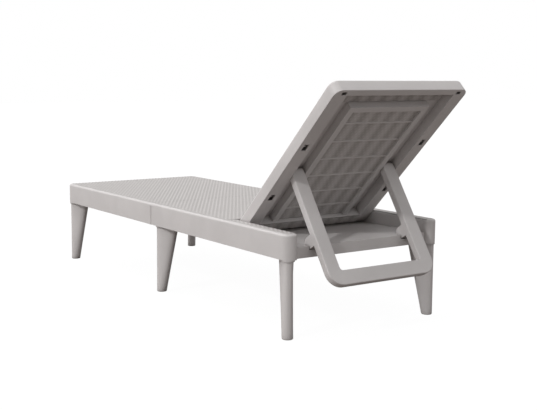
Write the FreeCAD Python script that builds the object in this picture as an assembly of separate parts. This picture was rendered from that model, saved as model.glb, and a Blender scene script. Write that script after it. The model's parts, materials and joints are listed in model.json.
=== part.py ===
import FreeCAD, Part
import math
import os

os.makedirs("parts", exist_ok=True)

# Driving dimensions in millimetres. X runs across, Y from foot to head, Z up.
# Lengths along Y are first measured from the middle of the base.
BASE_WIDTH = 600.0
BASE_LENGTH = 1550.0
DECK_HEIGHT = 312.0
RAIL_HEIGHT = 76.0
RAIL_WIDTH = 45.0
CORNER_RADIUS = 26.0
END_CORNER_RADIUS = 16.0
EDGE_ROUND = 7.0
WALL = 4.0
TOP_WEB = 12.0
SEAM_Y = -46.0
PILASTER_LENGTH = 18.0
PILASTER_PROUD = 1.5

DECK_THICKNESS = 6.0
RIM = 14.0
DECK_RIB_DEPTH = 20.0
DECK_RIB_THICKNESS = 3.0
DECK_RIB_PITCH = 90.0
DECK_RIB_INSET = 12.0
PANEL_GAP = 0.4
MIDDLE_BEAM_DEPTH = 50.0
MIDDLE_BEAM_HEIGHT = 38.0

BEAM_DEPTH = 150.0
BEAM_RECESS = 17.0
BEAM_DROP = 42.0
TRAY_DROP = 44.0
TRAY_LEDGE = 12.0
HINGE_TRAY_MARGIN = 31.0

LEG_TOP_LENGTH = 88.0
LEG_FOOT_LENGTH = 34.5
LEG_TOP_RADIUS = 16.5
LEG_FOOT_RADIUS = 17.0
LEG_TAIL_ROUND = 14.0
LEG_INSET = 21.5
LEG_TURN = 22.0
COLLAR_WALL = 3.0
COLLAR_DROP = 5.0
COLLAR_HEIGHT = 33.0
SPIGOT_INSET = 4.0
SPIGOT_HEIGHT = 26.0
MIDDLE_LEG_Y = -31.0

HINGE_Y = 461.0
HINGE_PIN_RADIUS = 7.0
HINGE_PIN_GRIP = 17.0
HINGE_PIN_REACH = 26.0
HINGE_BLOCK_LENGTH = 44.0
RUNNING_FIT = 0.05

BACK_ANGLE = 44.4
BACK_SIDE_GAP = 3.0
BACK_LENGTH = 641.0
BACK_THICKNESS = 40.0
BACK_CORNER = 26.0
BACK_EDGE_ROUND = 7.0
BACK_UNDER_ROUND = 1.5
BACK_RIM = 8.0
BACK_FLANGE = 47.0
BACK_TOP_FLANGE = 22.0
BACK_FOOT_BAR = 30.0
PANEL_THICKNESS = 8.0
FRAME_WALL = 3.0
CHANNEL_WIDTH = 53.0
BORDER_WIDTH = 20.0
BORDER_HEAD_INSET = 80.0
BORDER_DEPTH = 33.0
FIELD_DEPTH = 25.0
FIELD_THICKNESS = 3.0
RIB_DEPTH = 29.0
RIB_THICKNESS = 5.0
RIB_FIRST = 91.0
RIB_HEAD_CELL = 52.0
RIB_COUNT = 6
WINDOW_FOOT_REACH = 169.0
WINDOW_HEAD_REACH = 240.0
WINDOW_WIDTH = 17.0
WINDOW_LENGTH = 28.0
WINDOW_END_INSET = 14.5
WINDOW_END_SIDE = 34.0
WINDOW_END_LENGTH = 12.0
HOOK_WIDTH = 10.0
HOOK_THICKNESS = 4.0
HOOK_DEPTH = 34.0

PROP_FOLD_ANGLE = 100.6
PROP_PIVOT_REACH = 266.0
PROP_PIVOT_DEPTH = 21.0
PROP_SIDE_GAP = 1.5
PROP_ARM = 47.0
PROP_THICKNESS = 23.0
PROP_EDGE_ROUND = 3.0
PROP_LENGTH = 378.0
PROP_BAR = 46.0
PROP_OUTER_CORNER = 46.0
PROP_INNER_CORNER = 10.0
PROP_PIN_RADIUS = 4.0
LUG_REACH = 221.0
LUG_OFFSET = 29.0
LUG_RADIUS = 18.0
SEAT_GAP = 0.5
SEAT_LENGTH = 31.0
SEAT_DROP = 12.0
SEAT_SIDE = 3.0

JOINER_LENGTH = 180.0
JOINER_HEIGHT = 26.0
JOINER_GAP = 1.5
SCREW_NEAR = 48.0
SCREW_FAR = 82.0
SCREW_RADIUS = 2.0
SCREW_CLEARANCE = 0.25
SCREW_HEAD_RADIUS = 4.0
SCREW_HEAD_HEIGHT = 2.5
SCREW_LENGTH = 16.0

# Two lengths closer than this count as the same, and faces meeting at more than this angle are sharp.
TOLERANCE = 0.01
SHARP_ANGLE = math.radians(30)

# Sizes that follow from the ones above.
HALF_WIDTH = BASE_WIDTH / 2
HALF_LENGTH = BASE_LENGTH / 2
RAIL_INNER = HALF_WIDTH - RAIL_WIDTH
RAIL_BOTTOM = DECK_HEIGHT - RAIL_HEIGHT
COLLAR_BOTTOM = RAIL_BOTTOM - COLLAR_DROP
COLLAR_TOP = COLLAR_BOTTOM + COLLAR_HEIGHT
REBATE_FLOOR = DECK_HEIGHT - DECK_THICKNESS
CHANNEL_TOP = DECK_HEIGHT - TOP_WEB
HINGE_Z = DECK_HEIGHT - BACK_THICKNESS / 2
DECK_REAR = HINGE_Y - BACK_THICKNESS / 2 - WALL
BEAM_TOP = DECK_HEIGHT - BEAM_DROP
TRAY_TOP = DECK_HEIGHT - TRAY_DROP
TRAY_FRONT = HINGE_Y - HINGE_TRAY_MARGIN
BEAM_REAR = HALF_LENGTH - BEAM_RECESS
BEAM_FRONT = BEAM_REAR - BEAM_DEPTH
BACK_HALF = RAIL_INNER - BACK_SIDE_GAP
FLANGE_INNER = BACK_HALF - BACK_FLANGE
BORDER_OUTER = FLANGE_INNER - CHANNEL_WIDTH
BORDER_INNER = BORDER_OUTER - BORDER_WIDTH
BORDER_TOP = BACK_LENGTH - BORDER_HEAD_INSET
RIB_LAST = BORDER_TOP - BORDER_WIDTH - RIB_HEAD_CELL
RIB_PITCH = (RIB_LAST - RIB_FIRST) / (RIB_COUNT - 1)
WINDOW_STATIONS = (WINDOW_FOOT_REACH, BACK_LENGTH - WINDOW_HEAD_REACH)
WINDOW_X = BACK_HALF - BACK_FLANGE / 2
WINDOW_END_X = BACK_HALF - WINDOW_END_SIDE
WINDOW_END_STATION = BACK_LENGTH - WINDOW_END_INSET
PIVOT_Y = HINGE_Y + PROP_PIVOT_REACH
PIVOT_Z = DECK_HEIGHT - PROP_PIVOT_DEPTH
PROP_HALF = FLANGE_INNER - PROP_SIDE_GAP
SCREW_STATIONS = (-SCREW_FAR, -SCREW_NEAR, SCREW_NEAR, SCREW_FAR)
SIDES = {"left": 1, "right": -1}

# The origin is on the floor under the middle of the whole length with the backrest raised.
LEAN = math.radians(BACK_ANGLE)
HEAD_REACH = (BACK_LENGTH - BACK_UNDER_ROUND) * math.cos(LEAN)
HEAD_REACH += (BACK_THICKNESS / 2 - BACK_UNDER_ROUND) * math.sin(LEAN) + BACK_UNDER_ROUND
BACK_END = HINGE_Y + HEAD_REACH
ORIGIN_Y = (BACK_END - HALF_LENGTH) / 2

V = FreeCAD.Vector
ACROSS = V(1, 0, 0)
UP = V(0, 0, 1)
HINGE_AXIS = V(0, HINGE_Y, HINGE_Z)
PIVOT_AXIS = V(0, PIVOT_Y, PIVOT_Z)


def box(x, y, z):
    """Block between three (low, high) pairs."""
    low = V(min(x), min(y), min(z))
    return Part.makeBox(max(x) - min(x), max(y) - min(y), max(z) - min(z), low)


def rod(x, y, z, radius):
    """Round bar along X between the two values in x."""
    return Part.makeCylinder(radius, max(x) - min(x), V(min(x), y, z), ACROSS)


def outline(points):
    """Closed wire through (x, y) points; a point with a third value is rounded by that radius."""
    edges = []
    ends = []
    count = len(points)
    for i, point in enumerate(points):
        corner = V(point[0], point[1], 0)
        if len(point) == 2:
            ends.append((corner, corner))
            continue
        before = (V(*points[i - 1][:2], 0) - corner).normalize()
        after = (V(*points[(i + 1) % count][:2], 0) - corner).normalize()
        half = before.getAngle(after) / 2
        start = corner + before * (point[2] / math.tan(half))
        end = corner + after * (point[2] / math.tan(half))
        inward = (before + after).normalize()
        middle = corner + inward * (point[2] / math.sin(half) - point[2])
        edges.append(Part.Arc(start, middle, end).toShape())
        ends.append((start, end))
    for i in range(count):
        start = ends[i][1]
        end = ends[(i + 1) % count][0]
        if (end - start).Length > TOLERANCE:
            edges.append(Part.makeLine(start, end))
    return Part.Wire(Part.__sortEdges__(edges))


def prism(wire, low, high):
    """Solid between two heights on a flat outline."""
    solid = Part.Face(wire).extrude(UP * (high - low))
    solid.translate(UP * low)
    return solid


def side_prism(points, x):
    """Solid across X on an outline of (y, z) points."""
    corners = [V(min(x), y, z) for y, z in points]
    face = Part.Face(Part.makePolygon(corners + corners[:1]))
    return face.extrude(ACROSS * (max(x) - min(x)))


def mirrored(shape, side):
    """The shape itself on the left, its mirror image on the right."""
    if side > 0:
        return shape
    return shape.mirror(V(0, 0, 0), ACROSS)


def leg_wire(name, length, radius, tail_round, height):
    """Blade section of a left leg: round nose outside, flat end with rounded corners inside."""
    corner, inward = LEFT_LEGS[name]
    nose = V(corner[0] + inward[0] * LEG_INSET, corner[1] + inward[1] * LEG_INSET, height)
    turn = math.radians(LEG_TURN)
    along = V(inward[0] * math.sin(turn), inward[1] * math.cos(turn), 0)
    aside = V(-along.y, along.x, 0)
    tail = nose + along * (length - radius)
    edges = [Part.Arc(nose - aside * radius, nose - along * radius, nose + aside * radius).toShape()]
    slope = math.sqrt(0.5) * tail_round
    for way in (aside, aside * -1):
        centre = tail + way * (radius - tail_round) - along * tail_round
        turn_start = centre + way * tail_round
        turn_end = centre + along * tail_round
        edges.append(Part.makeLine(nose + way * radius, turn_start))
        edges.append(Part.Arc(turn_start, centre + (way + along) * slope, turn_end).toShape())
    flat = radius - tail_round
    edges.append(Part.makeLine(tail + aside * flat, tail - aside * flat))
    return Part.Wire(Part.__sortEdges__(edges))


def grown_blade(name, grow, low, high):
    """Straight prism on a leg's top section, grown or shrunk all round."""
    wire = leg_wire(name, LEG_TOP_LENGTH + 2 * grow, LEG_TOP_RADIUS + grow, LEG_TAIL_ROUND + grow, low)
    return Part.Face(wire).extrude(UP * (high - low))


# Corner of the base each left leg stands in, and the way inward from it.
LEFT_LEGS = {
    "front": ((HALF_WIDTH, -HALF_LENGTH), (-1, 1)),
    "middle": ((HALF_WIDTH, MIDDLE_LEG_Y), (-1, 1)),
    "rear": ((HALF_WIDTH, HALF_LENGTH), (-1, -1)),
}


def collar(name, grow=0.0):
    """Socket wall around a leg's top, before its pocket is cut."""
    return grown_blade(name, COLLAR_WALL + grow, COLLAR_BOTTOM, COLLAR_TOP)


def spigot(name):
    """Plug on a leg's top that fills its socket."""
    return grown_blade(name, -SPIGOT_INSET, COLLAR_BOTTOM, COLLAR_BOTTOM + SPIGOT_HEIGHT)


def leg(name, side):
    """Tapered leg with its plug."""
    foot = leg_wire(name, LEG_FOOT_LENGTH, LEG_FOOT_RADIUS, LEG_TAIL_ROUND, 0)
    top = leg_wire(name, LEG_TOP_LENGTH, LEG_TOP_RADIUS, LEG_TAIL_ROUND, COLLAR_BOTTOM)
    blade = Part.makeLoft([foot, top], True, True)
    return mirrored(blade.fuse(spigot(name)).removeSplitter(), side)


def rounded_top(solid, keep):
    """Round the top edges whose middle point passes the keep test."""
    edges = []
    for edge in solid.Edges:
        middle = edge.valueAt((edge.FirstParameter + edge.LastParameter) / 2)
        level = all(abs(v.Z - DECK_HEIGHT) < TOLERANCE for v in edge.Vertexes)
        if level and keep(middle):
            edges.append(edge)
    return solid.makeFillet(EDGE_ROUND, edges)


def rounded_sharp(solid, radius, keep):
    """Round every edge where two faces meet at an angle and whose middle point passes the keep test."""
    edges = []
    for edge in solid.Edges:
        point = edge.valueAt((edge.FirstParameter + edge.LastParameter) / 2)
        normals = []
        for face in solid.ancestorsOfType(edge, Part.Face):
            normals.append(face.normalAt(*face.Surface.parameter(point)))
        sharp = len(normals) == 2 and normals[0].getAngle(normals[1]) > SHARP_ANGLE
        if sharp and keep(point):
            edges.append(edge)
    return solid.makeFillet(radius, edges)


def front_rail(side):
    """Side rail from the foot corner to a raised band at the seam, with the front leg's socket."""
    plan = outline([(RAIL_INNER, SEAM_Y), (HALF_WIDTH, SEAM_Y), (HALF_WIDTH, -HALF_LENGTH, CORNER_RADIUS),
                    (RAIL_INNER, -HALF_LENGTH)])
    rail = prism(plan, RAIL_BOTTOM, DECK_HEIGHT)
    rail = rounded_top(rail, lambda p: p.x > RAIL_INNER + TOLERANCE and p.y < SEAM_Y - TOLERANCE)
    hollow = outline([(RAIL_INNER + WALL, SEAM_Y), (HALF_WIDTH - WALL, SEAM_Y),
                      (HALF_WIDTH - WALL, WALL - HALF_LENGTH, CORNER_RADIUS - WALL),
                      (RAIL_INNER + WALL, WALL - HALF_LENGTH)])
    pilaster = box((HALF_WIDTH - WALL, HALF_WIDTH + PILASTER_PROUD), (SEAM_Y - PILASTER_LENGTH, SEAM_Y),
                   (RAIL_BOTTOM, DECK_HEIGHT - EDGE_ROUND))
    rail = rail.cut(prism(hollow, RAIL_BOTTOM, CHANNEL_TOP))
    rail = rail.fuse([pilaster, collar("front")]).cut(spigot("front"))
    rail = rail.cut(deck_space())
    rail = rail.cut(joiner_holes(SCREW_CLEARANCE))
    return mirrored(rail.removeSplitter(), side)


def rear_rail(side):
    """Side rail from the seam to the head end, with the middle and rear sockets."""
    plan = outline([(RAIL_INNER, SEAM_Y), (HALF_WIDTH, SEAM_Y), (HALF_WIDTH, HALF_LENGTH, CORNER_RADIUS),
                    (RAIL_INNER, HALF_LENGTH, END_CORNER_RADIUS)])
    rail = prism(plan, RAIL_BOTTOM, DECK_HEIGHT)
    rail = rounded_top(rail, lambda p: p.x > RAIL_INNER + TOLERANCE and p.y > SEAM_Y + TOLERANCE)
    inside = (RAIL_INNER + WALL, HALF_WIDTH - WALL)
    height = (RAIL_BOTTOM, CHANNEL_TOP)
    rail = rail.cut(box(inside, (SEAM_Y, HINGE_Y - HINGE_BLOCK_LENGTH / 2), height))
    rear_end = HALF_LENGTH - CORNER_RADIUS
    rail = rail.cut(box(inside, (HINGE_Y + HINGE_BLOCK_LENGTH / 2, rear_end), height))
    ledge = box((RAIL_INNER - TRAY_LEDGE, RAIL_INNER + WALL), (TRAY_FRONT, BEAM_FRONT),
                (RAIL_BOTTOM + TRAY_LEDGE, TRAY_TOP - WALL))
    rail = rail.fuse([collar("middle"), collar("rear"), ledge])
    rail = rail.cut([spigot("middle"), spigot("rear"), deck_space()])
    rail = rail.cut(joiner_holes(SCREW_CLEARANCE))
    rail = rail.cut(hinge_pin(1, 0.0))
    return mirrored(rail.removeSplitter(), side)


def deck_space():
    """Space the two deck panels lie in."""
    half = HALF_WIDTH - RIM
    return box((-half, half), (RIM - HALF_LENGTH, DECK_REAR + PANEL_GAP), (REBATE_FLOOR, DECK_HEIGHT))


def foot_rail():
    """Cross rail at the foot end between the side rails."""
    span = (-RAIL_INNER, RAIL_INNER)
    rail = box(span, (-HALF_LENGTH, RAIL_WIDTH - HALF_LENGTH), (RAIL_BOTTOM, DECK_HEIGHT))
    rail = rounded_top(rail, lambda p: p.y < TOLERANCE - HALF_LENGTH)
    hollow = box(span, (WALL - HALF_LENGTH, RAIL_WIDTH - WALL - HALF_LENGTH), (RAIL_BOTTOM, CHANNEL_TOP))
    rail = rail.cut([hollow, deck_space()])
    for side in SIDES.values():
        rail = rail.cut(mirrored(collar("front", PANEL_GAP), side))
    return rail.removeSplitter()


def deck_panel(low, high):
    """Woven deck panel with stiffening ribs below."""
    half = HALF_WIDTH - RIM - PANEL_GAP
    panel = box((-half, half), (low, high), (REBATE_FLOOR, DECK_HEIGHT))
    reach = RAIL_INNER - DECK_RIB_INSET
    clear = RAIL_WIDTH - RIM + DECK_RIB_INSET
    ribs = int((high - low - 2 * clear) / DECK_RIB_PITCH)
    first = (low + high - ribs * DECK_RIB_PITCH) / 2
    for i in range(ribs + 1):
        middle = first + i * DECK_RIB_PITCH
        rib = box((-reach, reach), (middle - DECK_RIB_THICKNESS / 2, middle + DECK_RIB_THICKNESS / 2),
                  (REBATE_FLOOR - DECK_RIB_DEPTH, REBATE_FLOOR))
        panel = panel.fuse(rib)
    return panel.removeSplitter()


def front_deck():
    """Deck panel on the foot half."""
    return deck_panel(RIM - HALF_LENGTH + PANEL_GAP, SEAM_Y - PANEL_GAP)


def rear_deck():
    """Deck panel from the seam to the backrest."""
    return deck_panel(SEAM_Y + PANEL_GAP, DECK_REAR)


def middle_beam():
    """Cross channel under the seam that both deck panels rest on."""
    low = SEAM_Y - MIDDLE_BEAM_DEPTH / 2
    high = SEAM_Y + MIDDLE_BEAM_DEPTH / 2
    span = (-RAIL_INNER, RAIL_INNER)
    bottom = REBATE_FLOOR - MIDDLE_BEAM_HEIGHT
    beam = box(span, (low, high), (bottom, REBATE_FLOOR))
    return beam.cut(box(span, (low + WALL, high - WALL), (bottom, REBATE_FLOOR - WALL)))


def tray():
    """Floor under the folded backrest, with the wall that carries the deck's rear edge."""
    span = (-RAIL_INNER, RAIL_INNER)
    floor = box(span, (TRAY_FRONT, BEAM_FRONT), (TRAY_TOP - WALL, TRAY_TOP))
    wall = box(span, (TRAY_FRONT, TRAY_FRONT + WALL), (TRAY_TOP, REBATE_FLOOR))
    return floor.fuse(wall).removeSplitter()


def seat_ramp(gap):
    """Outline of the beam's seat under a hook, offset outward by a gap."""
    front = BEAM_REAR - SEAT_LENGTH
    return [(BEAM_FRONT, BEAM_TOP + gap), (front, BEAM_TOP + gap),
            (BEAM_REAR + gap, BEAM_TOP - SEAT_DROP + gap), (BEAM_REAR + gap, RAIL_BOTTOM),
            (BEAM_FRONT, RAIL_BOTTOM)]


def rear_beam():
    """Cross beam at the head end with a ramped seat for each hook."""
    span = (-RAIL_INNER, RAIL_INNER)
    beam = box(span, (BEAM_FRONT, BEAM_REAR), (RAIL_BOTTOM, BEAM_TOP))
    seat = (PROP_HALF - PROP_ARM - SEAT_SIDE, PROP_HALF + SEAT_SIDE)
    space = box(seat, (BEAM_FRONT, BEAM_REAR), (RAIL_BOTTOM, BEAM_TOP)).cut(side_prism(seat_ramp(0.0), seat))
    hollow = box(span, (BEAM_FRONT + WALL, BEAM_REAR - WALL), (RAIL_BOTTOM, BEAM_TOP - SEAT_DROP - WALL))
    beam = beam.cut(hollow)
    for side in SIDES.values():
        beam = beam.cut(mirrored(space, side))
        beam = beam.cut(mirrored(collar("rear", PANEL_GAP), side))
    return beam.removeSplitter()


def hinge_pin(side, gap):
    """Pin between a rail and the backrest, grown by a gap for its running hole."""
    reach = (RAIL_INNER - HINGE_PIN_GRIP, RAIL_INNER + HINGE_PIN_REACH)
    return mirrored(rod(reach, HINGE_Y, HINGE_Z, HINGE_PIN_RADIUS + gap), side)


def joiner(side):
    """Bar inside a rail that ties its front and rear lengths together."""
    across = (RAIL_INNER + WALL, HALF_WIDTH - WALL - JOINER_GAP)
    along = (SEAM_Y - JOINER_LENGTH / 2, SEAM_Y + JOINER_LENGTH / 2)
    bar = box(across, along, (CHANNEL_TOP - JOINER_HEIGHT, CHANNEL_TOP))
    return mirrored(bar.cut(joiner_holes(0.0)), side)


def joiner_screw_axis():
    """Height of the joiner screws."""
    return CHANNEL_TOP - JOINER_HEIGHT / 2


def joiner_holes(gap):
    """Holes of one side's joiner screws."""
    reach = (RAIL_INNER, RAIL_INNER + SCREW_LENGTH)
    height = joiner_screw_axis()
    holes = [rod(reach, SEAM_Y + y, height, SCREW_RADIUS + gap) for y in SCREW_STATIONS]
    return Part.makeCompound(holes)


def joiner_screws():
    """Screws that hold both joiners, heads on the inner faces of the rails."""
    height = joiner_screw_axis()
    screws = []
    for side in SIDES.values():
        for y in SCREW_STATIONS:
            shank = rod((RAIL_INNER, RAIL_INNER + SCREW_LENGTH), SEAM_Y + y, height, SCREW_RADIUS)
            head = rod((RAIL_INNER - SCREW_HEAD_HEIGHT, RAIL_INNER), SEAM_Y + y, height, SCREW_HEAD_RADIUS)
            screws.append(mirrored(shank.fuse(head).removeSplitter(), side))
    return Part.makeCompound(screws)


def reclined(shape):
    """Turn a piece drawn flat up to the backrest's angle."""
    return shape.rotated(HINGE_AXIS, ACROSS, BACK_ANGLE)


def back_plan(half, length, corner):
    """Outline of the backrest from its hinge to its rounded head end."""
    end = HINGE_Y + length
    return outline([(-half, HINGE_Y), (half, HINGE_Y), (half, end, corner), (-half, end, corner)])


def hook_places():
    """Middle (x, y) of every panel hook and the length of the window below it."""
    places = []
    for side in SIDES.values():
        for station in WINDOW_STATIONS:
            places.append((side * WINDOW_X, HINGE_Y + station, WINDOW_LENGTH))
        places.append((side * WINDOW_END_X, HINGE_Y + WINDOW_END_STATION, WINDOW_END_LENGTH))
    return places


def back_windows():
    """Openings in the frame's lower wall under each panel hook."""
    windows = []
    low = DECK_HEIGHT - BACK_THICKNESS
    for x, y, length in hook_places():
        windows.append(box((x - WINDOW_WIDTH / 2, x + WINDOW_WIDTH / 2),
                           (y - length / 2, y + length / 2), (low, low + FRAME_WALL)))
    return Part.makeCompound(windows)


def back_body():
    """Outside of the backrest with its rolled hinge end, rounder along the sitting side than below."""
    low = DECK_HEIGHT - BACK_THICKNESS
    body = prism(back_plan(BACK_HALF, BACK_LENGTH, BACK_CORNER), low, DECK_HEIGHT)
    roll = rod((-BACK_HALF, BACK_HALF), HINGE_Y, HINGE_Z, BACK_THICKNESS / 2)
    body = body.fuse(roll).removeSplitter()
    across = (-BACK_HALF, BACK_HALF)
    along = (HINGE_Y - BACK_THICKNESS, HINGE_Y + BACK_LENGTH)
    upper = body.common(box(across, along, (HINGE_Z, DECK_HEIGHT)))
    lower = body.common(box(across, along, (low, HINGE_Z)))
    upper = rounded_sharp(upper, BACK_EDGE_ROUND, lambda p: p.z > HINGE_Z + TOLERANCE)
    lower = rounded_sharp(lower, BACK_UNDER_ROUND, lambda p: p.z < HINGE_Z - TOLERANCE)
    return upper.fuse(lower).removeSplitter()


def backrest_frame():
    """Hollow perimeter frame of the backrest."""
    low = DECK_HEIGHT - BACK_THICKNESS
    seat = DECK_HEIGHT - PANEL_THICKNESS
    frame = back_body()
    inside = back_plan(BACK_HALF - BACK_RIM, BACK_LENGTH - BACK_RIM, BACK_CORNER - BACK_RIM)
    frame = frame.cut(prism(inside, seat, DECK_HEIGHT))
    bar_end = HINGE_Y + BACK_FOOT_BAR
    inner_end = HINGE_Y + BACK_LENGTH - BACK_TOP_FLANGE
    opening = box((-FLANGE_INNER, FLANGE_INNER), (bar_end, inner_end), (low, DECK_HEIGHT))
    pocket = prism(inside, low + FRAME_WALL, seat)
    keep = box((-FLANGE_INNER - FRAME_WALL, FLANGE_INNER + FRAME_WALL),
               (HINGE_Y, inner_end + FRAME_WALL), (low, DECK_HEIGHT))
    pocket = pocket.cut(keep).cut(box((-BACK_HALF, BACK_HALF), (HINGE_Y, bar_end), (low, DECK_HEIGHT)))
    frame = frame.cut([opening, pocket, back_windows()])
    for side in SIDES.values():
        frame = frame.cut(hinge_pin(side, RUNNING_FIT))
        frame = frame.cut(prop_pin(side, 0.0))
    return frame.removeSplitter()


def backrest_panel():
    """Woven panel of the backrest with its border, the ribbed field inside it and snap hooks."""
    seat = DECK_HEIGHT - PANEL_THICKNESS
    inset = BACK_RIM + PANEL_GAP
    plan = back_plan(BACK_HALF - inset, BACK_LENGTH - inset, BACK_CORNER - inset)
    panel = prism(plan, seat, DECK_HEIGHT)
    panel = panel.cut(box((-BACK_HALF, BACK_HALF), (HINGE_Y, HINGE_Y + PANEL_GAP), (seat, DECK_HEIGHT)))
    start = HINGE_Y + BACK_FOOT_BAR + PANEL_GAP
    across = (-BORDER_INNER, BORDER_INNER)
    along = (start, HINGE_Y + BORDER_TOP - BORDER_WIDTH)
    field = DECK_HEIGHT - FIELD_DEPTH
    wide = box((-BORDER_OUTER, BORDER_OUTER), (start, HINGE_Y + BORDER_TOP),
               (DECK_HEIGHT - BORDER_DEPTH, seat))
    panel = panel.fuse(wide.cut(box(across, along, (DECK_HEIGHT - BORDER_DEPTH, seat))))
    panel = panel.fuse(box(across, along, (field, field + FIELD_THICKNESS)))
    for i in range(RIB_COUNT):
        middle = HINGE_Y + RIB_FIRST + i * RIB_PITCH
        rib = box(across, (middle - RIB_THICKNESS / 2, middle + RIB_THICKNESS / 2),
                  (DECK_HEIGHT - RIB_DEPTH, field))
        panel = panel.fuse(rib)
    for x, y, length in hook_places():
        panel = panel.fuse(box((x - HOOK_WIDTH / 2, x + HOOK_WIDTH / 2),
                               (y - HOOK_THICKNESS / 2, y + HOOK_THICKNESS / 2),
                               (DECK_HEIGHT - HOOK_DEPTH, seat)))
    for side in SIDES.values():
        panel = panel.cut(prop_pin(side, 0.0))
    return panel.removeSplitter()


def prop_pin(side, gap):
    """Pin that carries one arm of the prop between the border and the frame."""
    reach = (BORDER_INNER + RIB_THICKNESS, FLANGE_INNER + 2 * FRAME_WALL)
    return mirrored(rod(reach, PIVOT_Y, PIVOT_Z, PROP_PIN_RADIUS + gap), side)


def swung(shape):
    """Move a piece of the prop from where it lies in the backrest to where it stands."""
    return reclined(shape.rotated(PIVOT_AXIS, ACROSS, -PROP_FOLD_ANGLE))


def prop_loop():
    """U of the prop as it lies in the backrest: two arms with round pivot ends and a cross bar."""
    low = PIVOT_Z - PROP_THICKNESS / 2
    high = PIVOT_Z + PROP_THICKNESS / 2
    end = PIVOT_Y + PROP_LENGTH
    inner = PROP_HALF - PROP_ARM
    outer_wire = outline([(-PROP_HALF, PIVOT_Y), (PROP_HALF, PIVOT_Y), (PROP_HALF, end, PROP_OUTER_CORNER),
                          (-PROP_HALF, end, PROP_OUTER_CORNER)])
    inner_wire = outline([(-inner, PIVOT_Y), (inner, PIVOT_Y), (inner, end - PROP_BAR, PROP_INNER_CORNER),
                          (-inner, end - PROP_BAR, PROP_INNER_CORNER)])
    loop = prism(outer_wire, low, high).cut(prism(inner_wire, low, high))
    loop = loop.fuse([rod(arm, PIVOT_Y, PIVOT_Z, PROP_THICKNESS / 2) for arm in prop_arms()])
    return rounded_sharp(loop.removeSplitter(), PROP_EDGE_ROUND, lambda p: True)


def prop_arms():
    """The (low, high) pair across X of each arm."""
    return [(side * (PROP_HALF - PROP_ARM), side * PROP_HALF) for side in SIDES.values()]


def prop_lug(arm):
    """Round-nosed hook on the front of an arm, standing out of the folded prop."""
    y = PIVOT_Y + LUG_REACH
    z = PIVOT_Z - LUG_OFFSET
    return rod(arm, y, z, LUG_RADIUS).fuse(box(arm, (y - LUG_RADIUS, y + LUG_RADIUS), (z, PIVOT_Z)))


def below_seat():
    """Outline of everything under the slope of the seats, carried on behind the beam."""
    front = BEAM_REAR - SEAT_LENGTH
    rear = BEAM_REAR + SEAT_LENGTH
    top = BEAM_TOP + SEAT_GAP
    return [(BEAM_FRONT, top), (front, top), (rear, top - 2 * SEAT_DROP), (rear, 0), (BEAM_FRONT, 0)]


def prop():
    """The prop swung out to the rear beam, its hooks shaped over the beam's seats."""
    shape = swung(prop_loop())
    across = (-PROP_HALF, PROP_HALF)
    for arm in prop_arms():
        shape = shape.fuse(swung(prop_lug(arm)).cut(side_prism(below_seat(), across)))
    shape = shape.cut(side_prism(seat_ramp(SEAT_GAP), across))
    for side in SIDES.values():
        shape = shape.cut(reclined(prop_pin(side, RUNNING_FIT)))
    return shape.removeSplitter()


def build():
    """Every node of the lounger by name, with Y still measured from the base's middle."""
    nodes = {
        "foot_rail": foot_rail(),
        "front_deck": front_deck(),
        "rear_deck": rear_deck(),
        "middle_beam": middle_beam(),
        "tray": tray(),
        "rear_beam": rear_beam(),
        "joiner_screws": joiner_screws(),
        "backrest_frame": reclined(backrest_frame()),
        "backrest_panel": reclined(backrest_panel()),
        "prop": prop(),
    }
    for word, side in SIDES.items():
        nodes[word + "_front_rail"] = front_rail(side)
        nodes[word + "_rear_rail"] = rear_rail(side)
        nodes[word + "_joiner"] = joiner(side)
        nodes[word + "_hinge_pin"] = hinge_pin(side, 0.0)
        nodes[word + "_prop_pin"] = reclined(prop_pin(side, 0.0))
        for name in LEFT_LEGS:
            nodes[word + "_" + name + "_leg"] = leg(name, side)
    return nodes


for name, shape in build().items():
    shape.translate(V(0, -ORIGIN_Y, 0))
    shape.exportStep("parts/" + name + ".step")
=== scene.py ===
"""Sun lounger in moulded polypropylene with a rattan-effect weave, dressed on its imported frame."""

import json
import math

import bmesh
import bpy
import numpy as np
from mathutils import Matrix, Vector


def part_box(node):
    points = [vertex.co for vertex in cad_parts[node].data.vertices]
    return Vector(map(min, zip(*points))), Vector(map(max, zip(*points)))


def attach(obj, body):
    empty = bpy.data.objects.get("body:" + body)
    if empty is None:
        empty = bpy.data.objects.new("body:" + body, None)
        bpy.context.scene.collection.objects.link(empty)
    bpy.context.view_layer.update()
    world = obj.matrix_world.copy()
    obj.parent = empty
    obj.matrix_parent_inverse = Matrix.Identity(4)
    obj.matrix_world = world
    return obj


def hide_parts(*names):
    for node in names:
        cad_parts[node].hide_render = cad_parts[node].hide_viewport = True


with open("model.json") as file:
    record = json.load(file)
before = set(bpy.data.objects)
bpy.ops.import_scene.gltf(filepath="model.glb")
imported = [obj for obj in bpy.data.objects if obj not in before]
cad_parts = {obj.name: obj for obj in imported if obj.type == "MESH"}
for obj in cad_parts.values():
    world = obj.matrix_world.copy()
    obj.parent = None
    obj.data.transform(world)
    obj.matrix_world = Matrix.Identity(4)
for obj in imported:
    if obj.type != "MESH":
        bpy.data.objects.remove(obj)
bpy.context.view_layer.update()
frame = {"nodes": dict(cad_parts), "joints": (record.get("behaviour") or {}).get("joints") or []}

bl_info = {
    "name": "Sun lounger",
    "version": (1, 0, 0),
    "blender": (4, 5, 0),
    "location": "View3D > Sidebar > Lounger",
    "description": "Dresses the packed sun lounger: woven deck, softened mouldings, legs and studio",
    "category": "Object",
}

# Deck and rails. All sizes are in metres.
DECK_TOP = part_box("front_deck")[1].z
RAIL_LIP = 0.005
RAIL_EDGE = 0.0003
RAIL_RIM = 0.014
SIDES = {"left": 1, "right": -1}

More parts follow.
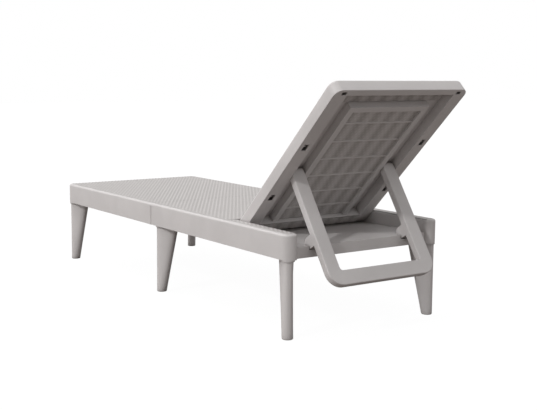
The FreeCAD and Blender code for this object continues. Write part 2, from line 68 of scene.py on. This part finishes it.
# Backrest: starts, ends and lengths run up from the hinge, halves run out from the middle.
HINGE = np.array(frame["joints"][0]["pos_m"])
BACK_ANGLE = math.radians(44.4)
BACK_LENGTH = 0.641
BACK_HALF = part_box("backrest_frame")[1].x
BACK_HALF_DEPTH = DECK_TOP - HINGE[2]
BACK_RIM = 0.008
BACK_CORNER = 0.026
PANEL_MARGIN = 0.007
PANEL_THICKNESS = 0.008
FLANGE_INNER = 0.205
FOOT_BAR = 0.030
FOOT_ROLL = 0.016
FIELD_HALF = 0.132
FIELD_START = 0.0305
FIELD_END = 0.541
FIELD_DEPTH = 0.025
CHANNEL_START = 0.5615
CHANNEL_END = 0.6185

# Weave: height of the strands across against those along, and the flutes under the backrest.
WEFT_HEIGHT = 0.6
FLUTE_PITCH = 0.050
FLUTE_DEPTH = 0.0018

# Legs: their oval sections, and the rings and columns of their meshes.
LEG_WAYS = {"front": 1, "middle": 1, "rear": -1}
LEG_TURN = math.radians(22)
LEG_TOP_LENGTH = 0.088
LEG_TOP_RADIUS = 0.0165
LEG_FOOT_LENGTH = 0.0345
LEG_FOOT_RADIUS = 0.017
LEG_FULLNESS = 2.8
LEG_SPIGOT = 0.026
LEG_FOOT_ROUND = 0.003
LEG_NECK = 0.0015
LEG_PLUG = 0.010
LEG_TIP = 1e-5
LEG_FOOT_RINGS = 5
LEG_BODY_RINGS = 11
LEG_COLUMNS = 64
LEG_SHARP_ANGLE = math.radians(40)

# Softened copies: what counts as one point, as flat, as a sharp edge and as an edge to round.
MERGE_DISTANCE = 1e-6
FLAT_ANGLE = math.radians(0.5)
SHARP_ANGLE = math.radians(30)
ROUND_ANGLE = math.radians(35)
ROUND_SEGMENTS = 3

# Finishes: sizes of their patterns, and the lowest and highest value of each range.
FLOW_LENGTH = 0.12
FLOW_RANGE = (0.35, 0.65)
# Painted shade in corners and recesses: how far the closeness test reaches, its range and its samples.
PAINTED_SHADE_REACH = 0.04
PAINTED_SHADE_RANGE = (0.15, 0.6)
PAINTED_SHADE_SAMPLES = 8
PATCH_SIZE = 0.025
PLASTIC_ROUGHNESS = (0.42, 0.58)
PLASTIC_IOR = 1.49
GRAIN_SIZE = 0.0012
GRAIN_DEPTH = 0.0003
GRAIN_STRENGTH = 0.12
CLOUD_SIZE = 0.004
STEEL_ROUGHNESS = (0.25, 0.42)
TURNING_PITCH = 0.00314
TURNING_DEPTH = 0.0001
TURNING_STRENGTH = 0.1
WAVE_RATE = 20

# Photograph's camera: place, heading, tilt and roll in the lounger's frame, and its lens.
CAMERA_PLACE = (1.9197, 2.9343, 0.7704)
CAMERA_HEADING = math.radians(235.20)
CAMERA_TILT = math.radians(-7.65)
CAMERA_ROLL = math.radians(0.41)
CAMERA_LENS = 65.76

# Studio: ways from the lounger to the lamps, and the floor's own glow and its tint in their light.
KEY_WAY = (0.790, 0.158, 0.592)
SIDE_WAY = (0.750, -0.600, 0.280)
TOP_WAY = (0.100, -0.500, 0.860)
WHITE = (1, 1, 1, 1)
FLOOR_GLOW = 0.97
FLOOR_TINT = (0.05, 0.05, 0.05, 1)

# Place of the colour among the outputs of a mix node.
MIXED_COLOUR = 2


class LoungerWeave(bpy.types.PropertyGroup):
    """Sizes of the rattan-effect weave."""

    cell_width: bpy.props.FloatProperty(
        name="Cell width", description="Weave cell across the lounger", default=0.0074, unit="LENGTH")
    cell_length: bpy.props.FloatProperty(
        name="Cell length", description="Weave cell along the lounger", default=0.0114, unit="LENGTH")
    relief: bpy.props.FloatProperty(
        name="Relief", description="Height of a strand above the gaps", default=0.0020, unit="LENGTH")
    under_relief: bpy.props.FloatProperty(
        name="Underside relief", description="Relief on the backrest's underside",
        default=0.0009, unit="LENGTH")
    samples: bpy.props.IntProperty(
        name="Samples", description="Grid steps across one cell", default=4, min=2, max=8)


class LoungerFinish(bpy.types.PropertyGroup):
    """Colours and edge sizes of the mouldings."""

    plastic: bpy.props.StringProperty(
        name="Plastic", description="Main colour of the mouldings, sRGB hex", default="cbc7c6")
    plastic_deep: bpy.props.StringProperty(
        name="Plastic, deep", description="Slightly darker flow marks in the mouldings", default="c5c1c0")
    # Painted shade: the darker colour given to deep corners and recesses.
    corner_shade: bpy.props.StringProperty(
        name="Dust", description="Plastic under the dust of deep corners", default="8d8783")
    # Painted shade: the lower strands and the gaps between strands are given darker colours.
    low_strand_shade: bpy.props.StringProperty(
        name="Weft", description="Lower strands of the weave", default="b7b3b1")
    gap: bpy.props.StringProperty(
        name="Weave gaps", description="Colour between the strands", default="948f8d")
    steel: bpy.props.StringProperty(
        name="Steel", description="Zinc plated pins and screws", default="b9bab8")
    steel_deep: bpy.props.StringProperty(
        name="Steel, deep", description="Duller clouds in the plating", default="a3a4a2")
    edge_round: bpy.props.FloatProperty(
        name="Edge round", description="Rounding of the moulded edges", default=0.0014, unit="LENGTH")


class LoungerStage(bpy.types.PropertyGroup):
    """Light and floor of the studio."""

    ambient: bpy.props.FloatProperty(
        name="Ambient", description="Strength of the even studio light", default=0.575)
    key: bpy.props.FloatProperty(
        name="Key", description="Strength of the small key light", default=0.89)
    key_softness: bpy.props.FloatProperty(
        name="Key softness", description="Width of the key light",
        default=math.radians(3), subtype="ANGLE")
    side: bpy.props.FloatProperty(
        name="Side", description="Strength of the broad light beside the lounger", default=1.40)
    side_softness: bpy.props.FloatProperty(
        name="Side softness", description="Width of the broad light",
        default=math.radians(110), subtype="ANGLE")
    top: bpy.props.FloatProperty(
        name="Top", description="Strength of the overhead light", default=0.82)
    top_softness: bpy.props.FloatProperty(
        name="Top softness", description="Width of the overhead light",
        default=math.radians(40), subtype="ANGLE")
    bounce: bpy.props.StringProperty(
        name="Bounce", description="Colour of the light the floor throws back, sRGB hex", default="827b77")
    floor_half: bpy.props.FloatProperty(
        name="Floor half", description="Half of the floor's side", default=20.0, unit="LENGTH")


def linear(code):
    """Linear RGBA of an sRGB hex colour, by the sRGB standard's curve."""
    parts = np.array([int(code[i:i + 2], 16) for i in (0, 2, 4)]) / 255
    low = parts / 12.92
    high = ((parts + 0.055) / 1.055) ** 2.4
    return (*np.where(parts <= 0.04045, low, high).tolist(), 1.0)


def add(tree, kind, settings=None, links=None):
    """Add a node, set its properties or sockets by name, and link outputs to its sockets."""
    made = tree.nodes.new(kind)
    sockets = {s.name: s for s in reversed(made.inputs)}
    sockets.update({s.identifier: s for s in made.inputs})
    for key, value in (settings or {}).items():
        if key in sockets:
            sockets[key].default_value = value
        else:
            setattr(made, key, value)
    for key, source in (links or {}).items():
        tree.links.new(source, sockets[key])
    return made


def new_material(name):
    """Empty material, its tree and a principled shader joined to the output."""
    material = bpy.data.materials.new(name)
    material.use_nodes = True
    tree = material.node_tree
    tree.nodes.clear()
    shader = add(tree, "ShaderNodeBsdfPrincipled")
    add(tree, "ShaderNodeOutputMaterial", links={"Surface": shader.outputs["BSDF"]})
    return material, tree, shader


def moulded_skin(tree, shader, finish):
    """Colour, roughness and grain that every polypropylene moulding shares, with painted shade darkening deep
    corners; returns the colour.
    """
    place = add(tree, "ShaderNodeTexCoord").outputs["Object"]
    # Flow marks about 120 mm long, hardly darker than the rest.
    flow = add(tree, "ShaderNodeTexNoise", {"Scale": 1 / FLOW_LENGTH, "Detail": 3.0}, {"Vector": place})
    share = add(tree, "ShaderNodeMapRange", {"From Min": FLOW_RANGE[0], "From Max": FLOW_RANGE[1]},
                {"Value": flow.outputs["Fac"]})
    deep = linear(finish.plastic_deep)
    colour = add(tree, "ShaderNodeMix",
                 {"data_type": "RGBA", "A_Color": deep, "B_Color": linear(finish.plastic)},
                 {"Factor_Float": share.outputs["Result"]})
    # Painted shade: the colour darkens where surfaces close in on each other within about 40 mm, standing in
    # for the shade in corners and recesses.
    closeness = add(tree, "ShaderNodeAmbientOcclusion", {"samples": PAINTED_SHADE_SAMPLES, "Distance": PAINTED_SHADE_REACH})
    unshaded = add(tree, "ShaderNodeMapRange", {"From Min": PAINTED_SHADE_RANGE[0], "From Max": PAINTED_SHADE_RANGE[1]},
                {"Value": closeness.outputs["AO"]})
    shaded_colour = add(tree, "ShaderNodeMix", {"data_type": "RGBA", "A_Color": linear(finish.corner_shade)},
                {"Factor_Float": unshaded.outputs["Result"], "B_Color": colour.outputs[MIXED_COLOUR]})
    # Handling leaves the matt skin slightly uneven over about 25 mm.
    patches = add(tree, "ShaderNodeTexNoise", {"Scale": 1 / PATCH_SIZE, "Detail": 4.0}, {"Vector": place})
    gloss = add(tree, "ShaderNodeMapRange",
                {"To Min": PLASTIC_ROUGHNESS[0], "To Max": PLASTIC_ROUGHNESS[1]},
                {"Value": patches.outputs["Fac"]})
    tree.links.new(gloss.outputs["Result"], shader.inputs["Roughness"])
    # Spark grain is about 0.4 mm; it is drawn at 1.2 mm so that it shows.
    grain = add(tree, "ShaderNodeTexNoise", {"Scale": 1 / GRAIN_SIZE, "Detail": 2.0}, {"Vector": place})
    bump = add(tree, "ShaderNodeBump", {"Strength": GRAIN_STRENGTH, "Distance": GRAIN_DEPTH},
               {"Height": grain.outputs["Fac"]})
    tree.links.new(bump.outputs["Normal"], shader.inputs["Normal"])
    shader.inputs["IOR"].default_value = PLASTIC_IOR
    return shaded_colour.outputs[MIXED_COLOUR]


def moulded_polypropylene(finish):
    """Polypropylene, injection moulded against a spark-eroded tool: matt, faintly mottled, fine grain, with
    painted shade in deep corners.
    """
    material, tree, shader = new_material("moulded_polypropylene")
    tree.links.new(moulded_skin(tree, shader, finish), shader.inputs["Base Color"])
    return material


def woven_polypropylene(finish):
    """Polypropylene moulded as a rattan weave: raised strands as the plain skin, with painted shade darkening
    the low strands and the gaps.
    """
    material, tree, shader = new_material("woven_polypropylene")
    colour = moulded_skin(tree, shader, finish)
    # Painted shade: the colour falls from the plain skin on the raised strands to the low strand colour, and
    # to the gap colour in the gaps.
    height = add(tree, "ShaderNodeAttribute", {"attribute_name": "weave_height"}).outputs["Fac"]
    low = add(tree, "ShaderNodeMapRange", {"From Max": WEFT_HEIGHT}, {"Value": height})
    low_shade = add(tree, "ShaderNodeMix",
               {"data_type": "RGBA", "A_Color": linear(finish.gap), "B_Color": linear(finish.low_strand_shade)},
               {"Factor_Float": low.outputs["Result"]})
    high = add(tree, "ShaderNodeMapRange", {"From Min": WEFT_HEIGHT}, {"Value": height})
    mixed = add(tree, "ShaderNodeMix", {"data_type": "RGBA"},
                {"Factor_Float": high.outputs["Result"], "A_Color": low_shade.outputs[MIXED_COLOUR],
                 "B_Color": colour})
    tree.links.new(mixed.outputs[MIXED_COLOUR], shader.inputs["Base Color"])
    return material


def zinc_plated_steel(finish):
    """Turned steel with a zinc coat: metallic, fine turning lines, slightly cloudy."""
    material, tree, shader = new_material("zinc_plated_steel")
    place = add(tree, "ShaderNodeTexCoord").outputs["Object"]
    # Cloudy plating over about 4 mm.
    cloud = add(tree, "ShaderNodeTexNoise", {"Scale": 1 / CLOUD_SIZE, "Detail": 3.0}, {"Vector": place})
    tint = add(tree, "ShaderNodeMix",
               {"data_type": "RGBA", "A_Color": linear(finish.steel_deep), "B_Color": linear(finish.steel)},
               {"Factor_Float": cloud.outputs["Fac"]})
    tree.links.new(tint.outputs[MIXED_COLOUR], shader.inputs["Base Color"])
    gloss = add(tree, "ShaderNodeMapRange", {"To Min": STEEL_ROUGHNESS[0], "To Max": STEEL_ROUGHNESS[1]},
                {"Value": cloud.outputs["Fac"]})
    tree.links.new(gloss.outputs["Result"], shader.inputs["Roughness"])
    # Turning lines are about 0.5 mm apart along the pins, which lie across the lounger; they are drawn
    # about 3 mm apart so that they show. The wave node turns WAVE_RATE radians in a metre at scale 1.
    scale = 2 * math.pi / WAVE_RATE / TURNING_PITCH
    lines = add(tree, "ShaderNodeTexWave", {"Scale": scale, "Distortion": 1.0}, {"Vector": place})
    bump = add(tree, "ShaderNodeBump", {"Strength": TURNING_STRENGTH, "Distance": TURNING_DEPTH},
               {"Height": lines.outputs["Fac"]})
    tree.links.new(bump.outputs["Normal"], shader.inputs["Normal"])
    shader.inputs["Metallic"].default_value = 1.0
    return material


MAKERS = {
    "moulded_polypropylene": moulded_polypropylene,
    "woven_polypropylene": woven_polypropylene,
    "zinc_plated_steel": zinc_plated_steel,
}


def finish_piece(piece, name):
    """Give a piece its material, made the first time it is asked for."""
    material = bpy.data.materials.get(name)
    if material is None:
        material = MAKERS[name](bpy.context.scene.lounger_finish)
    piece.data.materials.clear()
    piece.data.materials.append(material)


def new_piece(name, mesh, body, material, *nodes):
    """Object on a mesh that rides on a body, has a finish and stands for the given nodes."""
    piece = bpy.data.objects.new(name, mesh)
    bpy.context.scene.collection.objects.link(piece)
    finish_piece(piece, material)
    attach(piece, body)
    if nodes:
        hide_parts(*nodes)
    return piece


def grid_mesh(name, points, closed=False, keep=None):
    """Mesh of quads on a (rows, columns, 3) array.

    Closed joins the last column to the first. Keep marks points, and a quad with none of them is left out.
    """
    rows, columns = points.shape[:2]
    index = np.arange(rows * columns).reshape(rows, columns)
    if closed:
        index = np.concatenate([index, index[:, :1]], axis=1)
    quads = np.stack([index[:-1, :-1], index[:-1, 1:], index[1:, 1:], index[1:, :-1]], axis=-1)
    quads = quads.reshape(-1, 4)
    if keep is not None:
        quads = quads[keep.reshape(-1)[quads].any(axis=1)]
    mesh = bpy.data.meshes.new(name)
    mesh.vertices.add(rows * columns)
    mesh.vertices.foreach_set("co", points.reshape(-1).astype(np.float32))
    mesh.loops.add(quads.size)
    mesh.loops.foreach_set("vertex_index", quads.reshape(-1).astype(np.int32))
    mesh.polygons.add(len(quads))
    mesh.polygons.foreach_set("loop_start", np.arange(0, quads.size, 4, dtype=np.int32))
    mesh.update(calc_edges=True)
    mesh.validate()
    mesh.shade_smooth()
    return mesh


def weave_height(x, y, width, length):
    """Plain weave of round strands, from 0 in the gaps to 1 on top.

    A strand along Y is half the sum of a cosine along it, with one cell per half wave, and its round
    section, the root of 1 - (2 f)^2 for f from -1/2 to 1/2 over its cell. Strands along X are the same,
    half a wave behind and times WEFT_HEIGHT. The weave is the higher of the two, and no lower than 0.
    """
    column = np.floor(x / width)
    row = np.floor(y / length)
    across_x = 2 * (x / width - column) - 1
    across_y = 2 * (y / length - row) - 1
    round_x = np.sqrt(np.clip(1 - across_x ** 2, 0, 1))
    round_y = np.sqrt(np.clip(1 - across_y ** 2, 0, 1))
    along_y = 0.5 * round_x + 0.5 * np.cos(np.pi * (y / length - 0.5 + column))
    along_x = 0.5 * round_y + 0.5 * np.cos(np.pi * (x / width + 0.5 + row))
    return np.clip(np.maximum(along_y, WEFT_HEIGHT * along_x), 0, 1)


def fluted(x):
    """Broad flutes on the backrest's underside: a cosine wave across from 0 to 1, highest in the middle."""
    return 0.5 + 0.5 * np.cos(2 * np.pi * x / FLUTE_PITCH)


def weave_sheet(name, low, high, relief, lay, corner=0.0, flutes=0.0):
    """Woven sheet over the rectangle low..high, placed by lay(x, y, height); its rim dips to the base.

    Corners at the high end are rounded: a point outside the corner's circle slides onto it along its radius.
    Flutes of the given depth lift the weave, and count half in the height that colours it, which paints shade
    into their troughs.
    """
    weave = bpy.context.scene.lounger_weave
    step_x = weave.cell_width / weave.samples
    step_y = weave.cell_length / weave.samples
    x = np.linspace(low[0], high[0], round((high[0] - low[0]) / step_x) + 1)
    y = np.linspace(low[1], high[1], round((high[1] - low[1]) / step_y) + 1)
    x, y = np.meshgrid(x, y)
    raised = weave_height(x, y, weave.cell_width, weave.cell_length)
    rim = (x == x.min()) | (x == x.max()) | (y == y.min()) | (y == y.max())
    inside = np.ones_like(rim)
    if corner:
        beyond_x = np.maximum(np.abs(x) - (high[0] - corner), 0)
        beyond_y = np.maximum(y - (high[1] - corner), 0)
        reach = np.hypot(beyond_x, beyond_y)
        inside = reach < corner
        pull = np.where(inside, 1.0, corner / np.maximum(reach, corner))
        x = np.sign(x) * (np.abs(x) - beyond_x * (1 - pull))
        y = y - beyond_y * (1 - pull)
        rim = rim | ~inside
    raised = np.where(rim, 0.0, raised)
    mesh = grid_mesh(name, lay(x, y, raised * relief + fluted(x) * flutes), keep=inside)
    # Painted shade: the flute troughs darken the colour as the weave's gaps do.
    if flutes:
        raised = 0.5 * (raised + fluted(x))
    layer = mesh.attributes.new("weave_height", "FLOAT", "POINT")
    layer.data.foreach_set("value", raised.reshape(-1).astype(np.float32))
    return mesh


def woven_piece(name, body, low, high, relief, lay, corner=0.0, flutes=0.0):
    """Woven sheet as a piece that rides on a body."""
    mesh = weave_sheet(name, low, high, relief, lay, corner, flutes)
    new_piece(name, mesh, body, "woven_polypropylene")


def on_deck(x, y, height):
    """Place on the deck's level top."""
    return np.stack([x, y, DECK_TOP + height], axis=-1)


def reclined(x, along, above):
    """Place on the backrest: along from the hinge, above its middle plane, turned up about the hinge."""
    y = HINGE[1] + along * math.cos(BACK_ANGLE) - above * math.sin(BACK_ANGLE)
    z = HINGE[2] + along * math.sin(BACK_ANGLE) + above * math.cos(BACK_ANGLE)
    return np.stack([x, y, z], axis=-1)


def under_roll(x, along, height):
    """Place under the backrest's hinge bar: level past the hinge, wrapped round the bar's roll before it."""
    turn = np.minimum(along, 0) / BACK_HALF_DEPTH
    reach = BACK_HALF_DEPTH + height
    return reclined(x, np.maximum(along, 0) + reach * np.sin(turn), -reach * np.cos(turn))


def softened(node, body, width=None):
    """Copy of a node with merged corners, smooth curved faces and rounded sharp edges, in its place."""
    finish = bpy.context.scene.lounger_finish
    name = node + "_soft"
    mesh = frame["nodes"][node].data.copy()
    mesh.name = name
    work = bmesh.new()
    work.from_mesh(mesh)
    bmesh.ops.remove_doubles(work, verts=work.verts, dist=MERGE_DISTANCE)
    bmesh.ops.dissolve_limit(work, angle_limit=FLAT_ANGLE, verts=work.verts, edges=work.edges)
    work.to_mesh(mesh)
    work.free()
    # The node's own normals no longer fit the merged faces.
    old_normals = mesh.attributes.get("custom_normal")
    if old_normals:
        mesh.attributes.remove(old_normals)
    mesh.shade_smooth()
    mesh.set_sharp_from_angle(angle=SHARP_ANGLE)
    piece = new_piece(name, mesh, body, "moulded_polypropylene", node)
    bevel = piece.modifiers.new("edge_round", "BEVEL")
    bevel.width = width or finish.edge_round
    bevel.segments = ROUND_SEGMENTS
    bevel.limit_method = "ANGLE"
    bevel.angle_limit = ROUND_ANGLE
    bevel.harden_normals = True


def leg_mesh(name, node, way, side):
    """Tapered leg of oval rings, blended in a straight line from foot to collar, with a necked top.

    A ring at height z is |a / A|^p + |b / B|^p = 1, its nose kept in place: A is half its length and B its
    radius, which both run evenly from the foot's to the top's, and p runs from 2 to LEG_FULLNESS.
    """
    low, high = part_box(node)
    top = high.z - LEG_SPIGOT
    neck = top - LEG_NECK
    plug = top + LEG_PLUG
    widest = max(LEG_TOP_RADIUS, LEG_FOOT_RADIUS)
    nose_x = high.x - widest if side > 0 else low.x + widest
    nose_y = low.y + widest if way > 0 else high.y - widest
    rise = np.linspace(0, np.pi / 2, LEG_FOOT_RINGS)
    foot_z = LEG_FOOT_ROUND * (1 - np.cos(rise))
    foot_in = LEG_FOOT_ROUND * (1 - np.sin(rise))
    body_z = np.linspace(foot_z[-1], neck, LEG_BODY_RINGS + 1)[1:]
    heights = np.concatenate([[0.0], foot_z, body_z, [neck, top, plug, plug]])[:, None]
    inset = np.concatenate([[LEG_FOOT_RADIUS - LEG_TIP], foot_in, np.zeros(LEG_BODY_RINGS),
                            [LEG_NECK, LEG_NECK, LEG_NECK, LEG_TOP_RADIUS - LEG_TIP]])[:, None]
    share = np.clip(heights / top, 0, 1)
    turn = np.linspace(0, 2 * np.pi, LEG_COLUMNS, endpoint=False)[None, :]
    power = 2 / (2 + (LEG_FULLNESS - 2) * share)
    radius = LEG_FOOT_RADIUS + (LEG_TOP_RADIUS - LEG_FOOT_RADIUS) * share
    half = (LEG_FOOT_LENGTH + (LEG_TOP_LENGTH - LEG_FOOT_LENGTH) * share) / 2
    along = half - radius + (half - inset) * np.sign(np.cos(turn)) * np.abs(np.cos(turn)) ** power
    aside = (radius - inset) * np.sign(np.sin(turn)) * np.abs(np.sin(turn)) ** power
    x = nose_x - side * (along * math.sin(LEG_TURN) - aside * math.cos(LEG_TURN))
    y = nose_y + way * (along * math.cos(LEG_TURN) + aside * math.sin(LEG_TURN))
    points = np.stack([x, y, np.broadcast_to(heights, x.shape)], axis=-1)
    if side * way < 0:
        points = points[:, ::-1]
    mesh = grid_mesh(name, points, closed=True)
    mesh.set_sharp_from_angle(angle=LEG_SHARP_ANGLE)
    return mesh


class LOUNGER_OT_rails(bpy.types.Operator):
    """Side rails and foot rail with softened edges, and the weave on the rails beside the backrest"""

    bl_idname = "lounger.rails"
    bl_label = "Rails"

    def execute(self, context):
        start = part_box("rear_deck")[1].y + RAIL_LIP
        inner = BACK_HALF + RAIL_LIP
        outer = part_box("front_deck")[1].x
        for word, side in SIDES.items():
            for part in ("front_rail", "rear_rail"):
                softened(word + "_" + part, "base", RAIL_EDGE)
            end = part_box(word + "_rear_rail")[1].y - RAIL_RIM
            edges = sorted((side * inner, side * outer))
            woven_piece(word + "_rail_weave", "base", (edges[0], start), (edges[1], end),
                        context.scene.lounger_weave.relief, on_deck)
        softened("foot_rail", "base")
        return {"FINISHED"}


class LOUNGER_OT_legs(bpy.types.Operator):
    """Six tapered legs with round feet and a shadow line under each collar"""

    bl_idname = "lounger.legs"
    bl_label = "Legs"

    def execute(self, context):
        for word, side in SIDES.items():
            for part, way in LEG_WAYS.items():
                node = word + "_" + part + "_leg"
                mesh = leg_mesh(node + "_shell", node, way, side)
                new_piece(node + "_shell", mesh, "base", "moulded_polypropylene", node)
        return {"FINISHED"}


class LOUNGER_OT_decks(bpy.types.Operator):
    """Deck panels with their woven tops"""

    bl_idname = "lounger.decks"
    bl_label = "Decks"

    def execute(self, context):
        relief = context.scene.lounger_weave.relief
        for node in ("front_deck", "rear_deck"):
            softened(node, "base")
            low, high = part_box(node)
            woven_piece(node + "_weave", "base", low[:2], high[:2], relief, on_deck)
        return {"FINISHED"}


class LOUNGER_OT_under_frame(bpy.types.Operator):
    """Beams, tray and joiners under the deck, and the finish of the screws and pins"""

    bl_idname = "lounger.under_frame"
    bl_label = "Under frame"

    def execute(self, context):
        for node in ("middle_beam", "tray", "rear_beam", "left_joiner", "right_joiner"):
            softened(node, "base")
        for node in ("joiner_screws", "left_hinge_pin", "right_hinge_pin", "left_prop_pin", "right_prop_pin"):
            finish_piece(frame["nodes"][node], "zinc_plated_steel")
        return {"FINISHED"}


class LOUNGER_OT_backrest(bpy.types.Operator):
    """Backrest frame and panel, woven on the sitting side and on the underside"""

    bl_idname = "lounger.backrest"
    bl_label = "Backrest"

    def execute(self, context):
        weave = context.scene.lounger_weave
        softened("backrest_frame", "backrest")
        softened("backrest_panel", "backrest")
        inset = BACK_RIM + PANEL_MARGIN
        half = BACK_HALF - inset
        woven_piece("backrest_weave", "backrest", (-half, PANEL_MARGIN), (half, BACK_LENGTH - inset),
                    weave.relief, lambda x, y, h: reclined(x, y, BACK_HALF_DEPTH + h), BACK_CORNER - inset)
        field = BACK_HALF_DEPTH - FIELD_DEPTH
        floor = BACK_HALF_DEPTH - PANEL_THICKNESS
        undersides = {
            "backrest_field_weave": (
                FIELD_HALF, FIELD_START, FIELD_END, lambda x, y, h: reclined(-x, y, field - h)),
            "backrest_foot_weave": (
                FLANGE_INNER, -FOOT_ROLL, FOOT_BAR, lambda x, y, h: under_roll(-x, y, h)),
            "backrest_head_weave": (
                FLANGE_INNER, CHANNEL_START, CHANNEL_END, lambda x, y, h: reclined(-x, y, floor - h)),
        }
        for name, (half, start, end, lay) in undersides.items():
            woven_piece(name, "backrest", (-half, start), (half, end), weave.under_relief, lay,
                        flutes=FLUTE_DEPTH)
        return {"FINISHED"}


class LOUNGER_OT_prop(bpy.types.Operator):
    """U-shaped prop with its two hook lugs"""

    bl_idname = "lounger.prop"
    bl_label = "Prop"

    def execute(self, context):
        softened("prop", "prop")
        return {"FINISHED"}


def studio_floor(stage):
    """Pale seamless paper: near white to the eye, and a warm grey for the light it throws back."""
    material = bpy.data.materials.new("seamless_paper")
    material.use_nodes = True
    tree = material.node_tree
    tree.nodes.clear()
    seen = add(tree, "ShaderNodeLightPath").outputs["Is Camera Ray"]
    glow = add(tree, "ShaderNodeEmission", {"Color": WHITE, "Strength": FLOOR_GLOW})
    paper = add(tree, "ShaderNodeBsdfDiffuse", {"Color": FLOOR_TINT})
    bright = add(tree, "ShaderNodeAddShader",
                 links={"Shader": glow.outputs[0], "Shader_001": paper.outputs[0]})
    dull = add(tree, "ShaderNodeBsdfDiffuse", {"Color": linear(stage.bounce)})
    mixed = add(tree, "ShaderNodeMixShader",
                links={"Fac": seen, "Shader": dull.outputs[0], "Shader_001": bright.outputs[0]})
    add(tree, "ShaderNodeOutputMaterial", links={"Surface": mixed.outputs[0]})
    return material


def studio_sky(stage):
    """Even studio light, white where the camera looks past the floor."""
    world = bpy.data.worlds.new("studio")
    world.use_nodes = True
    tree = world.node_tree
    tree.nodes.clear()
    even = add(tree, "ShaderNodeBackground", {"Color": WHITE, "Strength": stage.ambient})
    white = add(tree, "ShaderNodeBackground", {"Color": WHITE, "Strength": 1.0})
    seen = add(tree, "ShaderNodeLightPath").outputs["Is Camera Ray"]
    mixed = add(tree, "ShaderNodeMixShader",
                links={"Fac": seen, "Shader": even.outputs[0], "Shader_001": white.outputs[0]})
    add(tree, "ShaderNodeOutputWorld", links={"Surface": mixed.outputs[0]})
    return world


def studio_lamp(name, way, strength, softness):
    """Distant lamp that shines from the given way, and is as wide as its softness."""
    lamp = bpy.data.lights.new(name, "SUN")
    lamp.energy = strength
    lamp.angle = softness
    placed = bpy.data.objects.new(name, lamp)
    placed.rotation_euler = Vector(way).to_track_quat("Z", "Y").to_euler()
    return placed


def photo_camera():
    """Camera from heading, tilt and roll.

    Forward comes from the two angles, then right and up are turned by the roll.
    """
    forward = Vector((math.cos(CAMERA_HEADING) * math.cos(CAMERA_TILT),
                      math.sin(CAMERA_HEADING) * math.cos(CAMERA_TILT), math.sin(CAMERA_TILT)))
    level = forward.cross(Vector((0, 0, 1))).normalized()
    above = level.cross(forward)
    right = level * math.cos(CAMERA_ROLL) + above * math.sin(CAMERA_ROLL)
    up = above * math.cos(CAMERA_ROLL) - level * math.sin(CAMERA_ROLL)
    data = bpy.data.cameras.new("photo_camera")
    data.lens = CAMERA_LENS
    camera = bpy.data.objects.new("photo_camera", data)
    turn = Matrix((right, up, -forward)).transposed().to_4x4()
    camera.matrix_world = Matrix.Translation(CAMERA_PLACE) @ turn
    return camera


class LOUNGER_OT_stage(bpy.types.Operator):
    """Floor, soft light and the photograph's camera"""

    bl_idname = "lounger.stage"
    bl_label = "Stage"

    def execute(self, context):
        scene = context.scene
        stage = scene.lounger_stage
        side = np.linspace(-stage.floor_half, stage.floor_half, 2)
        x, y = np.meshgrid(side, side)
        floor = bpy.data.objects.new("floor", grid_mesh("floor", np.stack([x, y, np.zeros_like(x)], axis=-1)))
        scene.collection.objects.link(floor)
        floor.data.materials.append(studio_floor(stage))
        scene.world = studio_sky(stage)
        lamps = {
            "key": (KEY_WAY, stage.key, stage.key_softness),
            "broad_side": (SIDE_WAY, stage.side, stage.side_softness),
            "overhead": (TOP_WAY, stage.top, stage.top_softness),
        }
        for name, (way, strength, softness) in lamps.items():
            scene.collection.objects.link(studio_lamp(name, way, strength, softness))
        camera = photo_camera()
        scene.collection.objects.link(camera)
        scene.camera = camera
        scene.view_settings.view_transform = "Standard"
        return {"FINISHED"}


class LOUNGER_PT_panel(bpy.types.Panel):
    """Steps of the lounger in the sidebar"""

    bl_idname = "LOUNGER_PT_panel"
    bl_label = "Sun lounger"
    bl_space_type = "VIEW_3D"
    bl_region_type = "UI"
    bl_category = "Lounger"

    def draw(self, context):
        for step in STEPS:
            self.layout.operator(step.bl_idname)


GROUPS = {"lounger_weave": LoungerWeave, "lounger_finish": LoungerFinish, "lounger_stage": LoungerStage}
STEPS = (LOUNGER_OT_rails, LOUNGER_OT_legs, LOUNGER_OT_decks, LOUNGER_OT_under_frame, LOUNGER_OT_backrest,
         LOUNGER_OT_prop, LOUNGER_OT_stage)


def register():
    """Register the groups, steps and panel, and hang the groups on the scene."""
    for kind in (*GROUPS.values(), *STEPS, LOUNGER_PT_panel):
        bpy.utils.register_class(kind)
    for name, kind in GROUPS.items():
        setattr(bpy.types.Scene, name, bpy.props.PointerProperty(type=kind))


def unregister():
    """Undo register."""
    for name in GROUPS:
        delattr(bpy.types.Scene, name)
    for kind in reversed((*GROUPS.values(), *STEPS, LOUNGER_PT_panel)):
        bpy.utils.unregister_class(kind)


def main():
    register()
    for step in STEPS:
        group, name = step.bl_idname.split(".")
        getattr(getattr(bpy.ops, group), name)()


if __name__ == "__main__":
    main()
